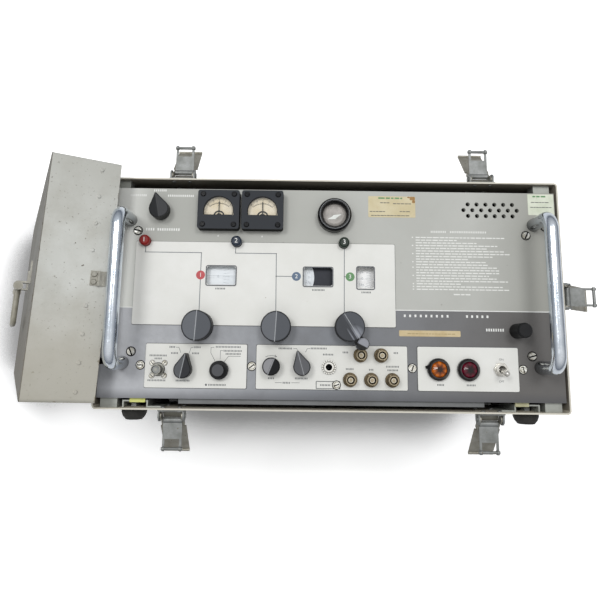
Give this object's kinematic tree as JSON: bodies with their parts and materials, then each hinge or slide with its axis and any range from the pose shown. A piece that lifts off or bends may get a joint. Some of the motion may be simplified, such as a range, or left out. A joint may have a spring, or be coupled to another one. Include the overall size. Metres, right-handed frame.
{
  "type": "frequency meter",
  "caption": "Vintage rack frequency meter lying on its back in a transit case, with dials, crank, meters, lamps, jacks and latches, and its lid leaning on the case's end.",
  "frame": {"origin": "middle of the case's back face, on the floor it lies on", "axes": "+Z out of the front panel (up as it lies), +Y towards the panel's top edge, +X to the panel's right"},
  "size_m": [0.8033, 0.34, 0.4697],
  "materials": {
    "case_paint": "worn satin paint",
    "lid_paint": "worn satin paint",
    "panel_paint": "satin paint",
    "plate_white": "satin enamel",
    "zinc": "dull zinc plate",
    "lever_zinc": "yellowed zinc plate",
    "rail_zinc": "bright zinc plate",
    "chassis_metal": "mill finish",
    "handle_chrome": "bright chrome",
    "bail_steel": "dull plated rod",
    "screw_nickel": "dull nickel plate",
    "black_rubber": "matt",
    "meter_black": "satin black",
    "scale_card": "aged card",
    "meter_glass": "clear",
    "tube_glass": "coated",
    "amber_glass": "faceted",
    "red_glass": "faceted",
    "speaker_black": "matt",
    "knob_charcoal": "satin charcoal",
    "knob_black": "satin black",
    "dial_white": "white enamel",
    "needle_black": "black",
    "button_red": "gloss",
    "button_blue": "gloss",
    "button_green": "gloss"
  },
  "bodies": {
    "case": {"case_shell": "case_paint", "case_feet": "black_rubber", "case_fasteners": "zinc", "case_rails": "rail_zinc", "latch_bases": "zinc", "front_panel": "panel_paint", "dial_plate": "plate_white", "control_plates": "plate_white", "rack_handles": "handle_chrome", "panel_screws": "screw_nickel", "meter_cases": "meter_black", "meter_scales": "scale_card", "meter_glasses": "meter_glass", "eye_bezel": "meter_black", "eye_tube": "tube_glass", "lamp_bezels": "meter_black", "lamp_lens_amber": "amber_glass", "lamp_lens_red": "red_glass", "power_switch": "screw_nickel", "coax_jacks": "screw_nickel", "phones_jack": "screw_nickel", "speaker": "speaker_black", "chassis": "chassis_metal", "inner_units": "chassis_metal"},
    "lid": {"lid_shell": "lid_paint", "lid_gasket": "black_rubber", "lid_brackets": "zinc", "lid_rivets": "zinc"},
    "latch_lever_1": {"latch_lever_1": "lever_zinc"},
    "latch_link_1": {"latch_link_1": "zinc"},
    "latch_lever_2": {"latch_lever_2": "lever_zinc"},
    "latch_link_2": {"latch_link_2": "zinc"},
    "latch_lever_3": {"latch_lever_3": "lever_zinc"},
    "latch_link_3": {"latch_link_3": "zinc"},
    "latch_lever_4": {"latch_lever_4": "lever_zinc"},
    "latch_link_4": {"latch_link_4": "zinc"},
    "latch_lever_5": {"latch_lever_5": "lever_zinc"},
    "latch_link_5": {"latch_link_5": "zinc"},
    "latch_lever_6": {"latch_lever_6": "lever_zinc"},
    "latch_link_6": {"latch_link_6": "zinc"},
    "lid_handle": {"lid_handle": "bail_steel"},
    "tuning_knob_1": {"tuning_knob_1": "knob_charcoal"},
    "tuning_knob_2": {"tuning_knob_2": "knob_charcoal"},
    "crank": {"crank": "knob_charcoal"},
    "crank_spinner": {"crank_spinner": "knob_charcoal"},
    "dial_1": {"dial_1": "dial_white"},
    "dial_2": {"dial_2": "dial_white"},
    "dial_3": {"dial_3": "dial_white"},
    "lock_knob": {"lock_knob": "knob_black"},
    "range_knob": {"range_knob": "knob_black"},
    "attenuator_knob": {"attenuator_knob": "knob_black"},
    "gain_knob": {"gain_knob": "knob_black"},
    "audio_knob": {"audio_knob": "knob_black"},
    "reset_knob": {"reset_knob": "knob_black"},
    "lock_button_1": {"lock_button_1": "button_red"},
    "lock_button_2": {"lock_button_2": "button_blue"},
    "lock_button_3": {"lock_button_3": "button_green"},
    "switch_lever": {"switch_lever": "screw_nickel"},
    "meter_needle_1": {"meter_needle_1": "needle_black"},
    "meter_needle_2": {"meter_needle_2": "needle_black"}
  },
  "joints": [
    {"name": "lid_lift_off", "type": "slide", "parent": "case", "child": "lid", "axis": [-0.8963, 0.0423, 0.4415], "range_m": [0, 0.3]},
    {"name": "lid_handle_swing", "type": "hinge", "parent": "lid", "child": "lid_handle", "pos_m": [-0.4088, 0.01582, 0.25559], "axis": [-0.441, 0.0208, -0.8973], "range_deg": [0, 120]},
    {"name": "latch_lever_1_swing", "type": "hinge", "parent": "case", "child": "latch_lever_1", "pos_m": [-0.165, 0.129, 0.404], "axis": [1, 0, 0], "range_deg": [-44, 0]},
    {"name": "latch_link_1_swing", "type": "hinge", "parent": "latch_lever_1", "child": "latch_link_1", "pos_m": [-0.165, 0.13417, 0.39781], "axis": [1, 0, 0], "range_deg": [0, 134]},
    {"name": "latch_lever_2_swing", "type": "hinge", "parent": "case", "child": "latch_lever_2", "pos_m": [0.165, 0.129, 0.404], "axis": [1, 0, 0], "range_deg": [-44, 0]},
    {"name": "latch_link_2_swing", "type": "hinge", "parent": "latch_lever_2", "child": "latch_link_2", "pos_m": [0.165, 0.13417, 0.39781], "axis": [1, 0, 0], "range_deg": [0, 134]},
    {"name": "latch_lever_3_swing", "type": "hinge", "parent": "case", "child": "latch_lever_3", "pos_m": [-0.165, -0.129, 0.404], "axis": [-1, 0, 0], "range_deg": [-44, 0]},
    {"name": "latch_link_3_swing", "type": "hinge", "parent": "latch_lever_3", "child": "latch_link_3", "pos_m": [-0.165, -0.13417, 0.39781], "axis": [-1, 0, 0], "range_deg": [0, 134]},
    {"name": "latch_lever_4_swing", "type": "hinge", "parent": "case", "child": "latch_lever_4", "pos_m": [0.165, -0.129, 0.404], "axis": [-1, 0, 0], "range_deg": [-44, 0]},
    {"name": "latch_link_4_swing", "type": "hinge", "parent": "latch_lever_4", "child": "latch_link_4", "pos_m": [0.165, -0.13417, 0.39781], "axis": [-1, 0, 0], "range_deg": [0, 134]},
    {"name": "latch_lever_5_swing", "type": "hinge", "parent": "case", "child": "latch_lever_5", "pos_m": [0.2515, 0, 0.404], "axis": [0, -1, 0], "range_deg": [-44, 0]},
    {"name": "latch_link_5_swing", "type": "hinge", "parent": "latch_lever_5", "child": "latch_link_5", "pos_m": [0.25667, 0, 0.39781], "axis": [0, -1, 0], "range_deg": [0, 134]},
    {"name": "latch_lever_6_swing", "type": "hinge", "parent": "case", "child": "latch_lever_6", "pos_m": [-0.2515, 0, 0.404], "axis": [0, 1, 0], "range_deg": [-44, 0]},
    {"name": "latch_link_6_swing", "type": "hinge", "parent": "latch_lever_6", "child": "latch_link_6", "pos_m": [-0.25667, 0, 0.39781], "axis": [0, 1, 0], "range_deg": [0, 134]},
    {"name": "tuning_knob_1_turn", "type": "hinge", "parent": "case", "child": "tuning_knob_1", "pos_m": [-0.1391, -0.0372, 0.414], "axis": [0, 0, 1], "continuous": true},
    {"name": "tuning_knob_2_turn", "type": "hinge", "parent": "case", "child": "tuning_knob_2", "pos_m": [-0.0582, -0.0372, 0.414], "axis": [0, 0, 1], "continuous": true},
    {"name": "crank_turn", "type": "hinge", "parent": "case", "child": "crank", "pos_m": [0.0177, -0.0362, 0.414], "axis": [0, 0, 1], "continuous": true},
    {"name": "crank_spinner_turn", "type": "hinge", "parent": "crank", "child": "crank_spinner", "pos_m": [0.02883, -0.05401, 0.414], "axis": [0, 0, 1], "continuous": true},
    {"name": "dial_1_turn", "type": "hinge", "parent": "case", "child": "dial_1", "pos_m": [-0.1457, 0.0164, 0.414], "axis": [0, 0, 1], "continuous": true},
    {"name": "dial_2_turn", "type": "hinge", "parent": "case", "child": "dial_2", "pos_m": [-0.045, 0.0164, 0.414], "axis": [0, 0, 1], "continuous": true},
    {"name": "dial_3_turn", "type": "hinge", "parent": "case", "child": "dial_3", "pos_m": [0.0112, 0.0164, 0.414], "axis": [0, 0, 1], "continuous": true},
    {"name": "lock_knob_turn", "type": "hinge", "parent": "case", "child": "lock_knob", "pos_m": [-0.185, 0.0858, 0.414], "axis": [0, 0, 1], "range_deg": [-50, 70]},
    {"name": "range_knob_turn", "type": "hinge", "parent": "case", "child": "range_knob", "pos_m": [-0.1524, -0.0816, 0.414], "axis": [0, 0, 1], "range_deg": [-60, 60]},
    {"name": "attenuator_knob_turn", "type": "hinge", "parent": "case", "child": "attenuator_knob", "pos_m": [-0.1159, -0.0818, 0.414], "axis": [0, 0, 1], "range_deg": [-135, 135]},
    {"name": "gain_knob_turn", "type": "hinge", "parent": "case", "child": "gain_knob", "pos_m": [-0.0624, -0.0774, 0.414], "axis": [0, 0, 1], "range_deg": [-150, 150]},
    {"name": "audio_knob_turn", "type": "hinge", "parent": "case", "child": "audio_knob", "pos_m": [-0.0311, -0.0775, 0.414], "axis": [0, 0, 1], "range_deg": [-45, 45]},
    {"name": "reset_knob_turn", "type": "hinge", "parent": "case", "child": "reset_knob", "pos_m": [0.1934, -0.0382, 0.414], "axis": [0, 0, 1], "range_deg": [-140, 140]},
    {"name": "lock_button_1_press", "type": "slide", "parent": "case", "child": "lock_button_1", "axis": [0, 0, 1], "range_m": [-0.003, 0], "stiffness_N_per_m": 400},
    {"name": "lock_button_2_press", "type": "slide", "parent": "case", "child": "lock_button_2", "axis": [0, 0, 1], "range_m": [-0.003, 0], "stiffness_N_per_m": 400},
    {"name": "lock_button_3_press", "type": "slide", "parent": "case", "child": "lock_button_3", "axis": [0, 0, 1], "range_m": [-0.003, 0], "stiffness_N_per_m": 400},
    {"name": "switch_lever_flip", "type": "hinge", "parent": "case", "child": "switch_lever", "pos_m": [0.1743, -0.0779, 0.418], "axis": [1, 0, 0], "range_deg": [-26, 0]},
    {"name": "meter_needle_1_turn", "type": "hinge", "parent": "case", "child": "meter_needle_1", "pos_m": [-0.1216, 0.078, 0.414], "axis": [0, 0, 1], "range_deg": [-40, 40], "stiffness_Nm_per_rad": 0.0002},
    {"name": "meter_needle_2_turn", "type": "hinge", "parent": "case", "child": "meter_needle_2", "pos_m": [-0.0749, 0.078, 0.414], "axis": [0, 0, 1], "range_deg": [-40, 40], "stiffness_Nm_per_rad": 0.0002}
  ],
  "couplings": [
    {"joint": "latch_link_1_swing", "follows": "latch_lever_1_swing", "ratio": -3.0455},
    {"joint": "latch_link_2_swing", "follows": "latch_lever_2_swing", "ratio": -3.0455},
    {"joint": "latch_link_3_swing", "follows": "latch_lever_3_swing", "ratio": -3.0455},
    {"joint": "latch_link_4_swing", "follows": "latch_lever_4_swing", "ratio": -3.0455},
    {"joint": "latch_link_5_swing", "follows": "latch_lever_5_swing", "ratio": -3.0455},
    {"joint": "latch_link_6_swing", "follows": "latch_lever_6_swing", "ratio": -3.0455},
    {"joint": "dial_1_turn", "follows": "tuning_knob_1_turn", "ratio": -0.1251},
    {"joint": "dial_2_turn", "follows": "tuning_knob_2_turn", "ratio": -0.15003},
    {"joint": "dial_3_turn", "follows": "crank_turn", "ratio": -0.45206}
  ]
}
